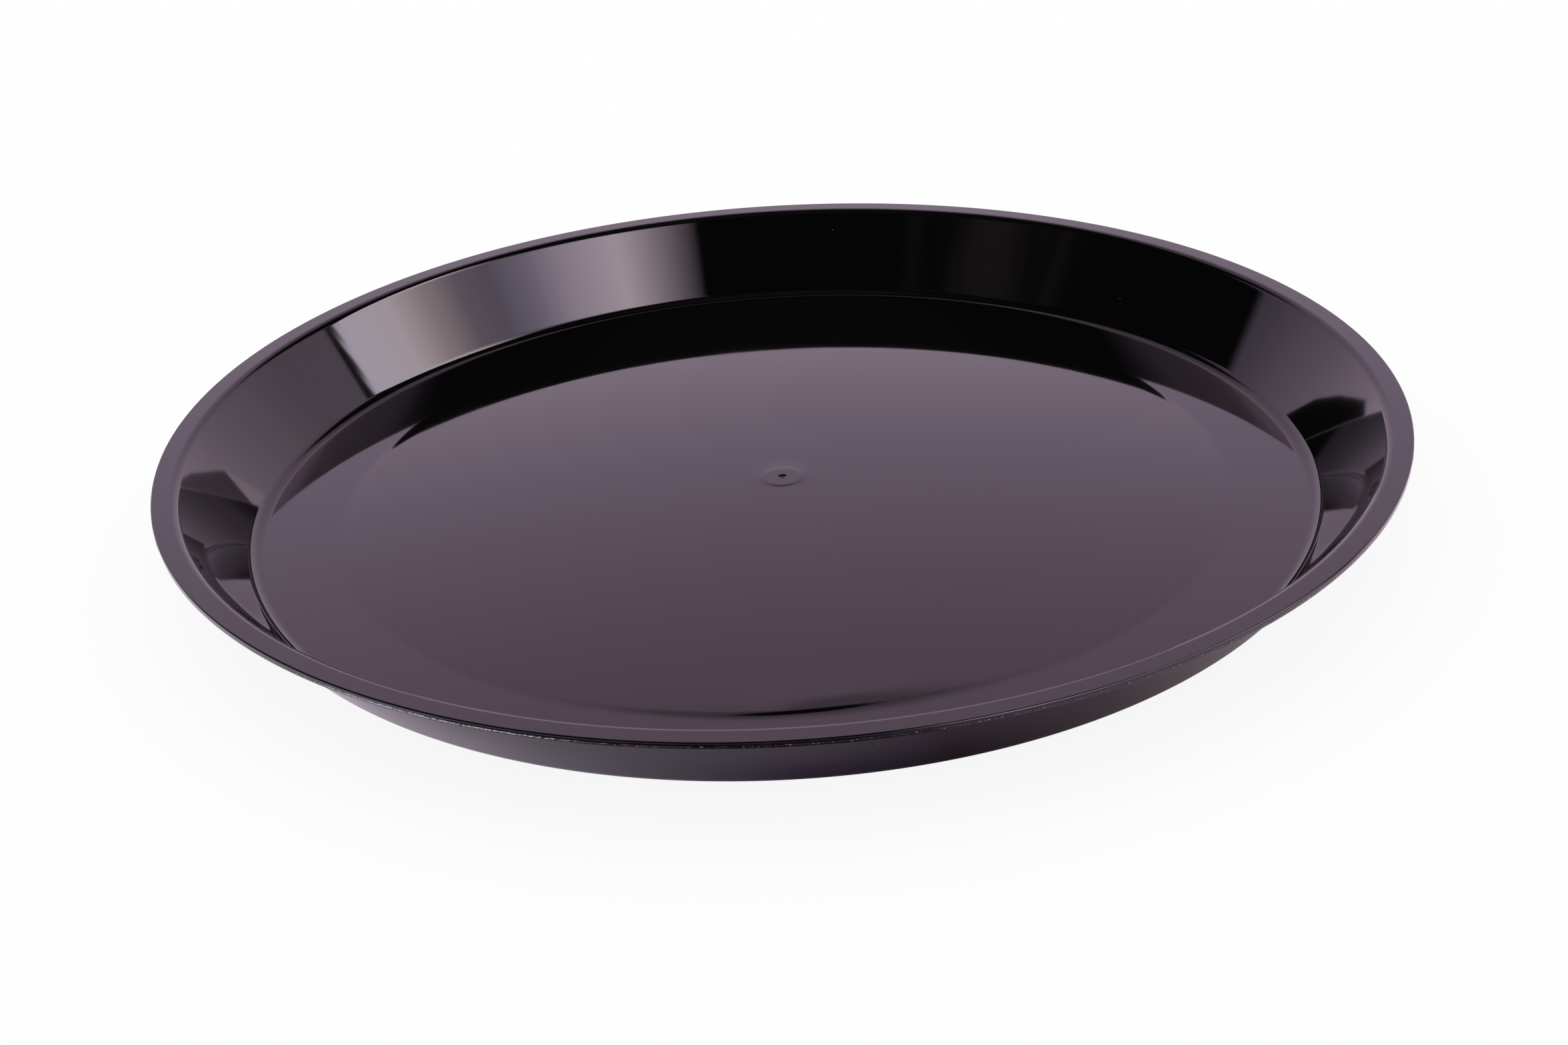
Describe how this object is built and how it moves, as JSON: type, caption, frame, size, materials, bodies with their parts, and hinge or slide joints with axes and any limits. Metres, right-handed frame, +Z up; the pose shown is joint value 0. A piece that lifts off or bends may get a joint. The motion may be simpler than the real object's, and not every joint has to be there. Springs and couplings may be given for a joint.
{
  "type": "serving tray",
  "caption": "Round gloss black serving tray moulded in one piece: low domed floor, leaning wall and a flat carrying rim.",
  "frame": {"origin": "centre of the plane the tray stands on, on the axis of the tray", "axes": "+Z up along the tray's axis, from the standing plane to the rim; X and Y are level and interchangeable, because the tray is a body of revolution"},
  "size_m": [0.37, 0.37, 0.028],
  "materials": {
    "black_plastic": "high gloss, self-coloured black styrene plastic"
  },
  "bodies": {
    "root": {"tray_shell": "black_plastic"}
  },
  "joints": []
}
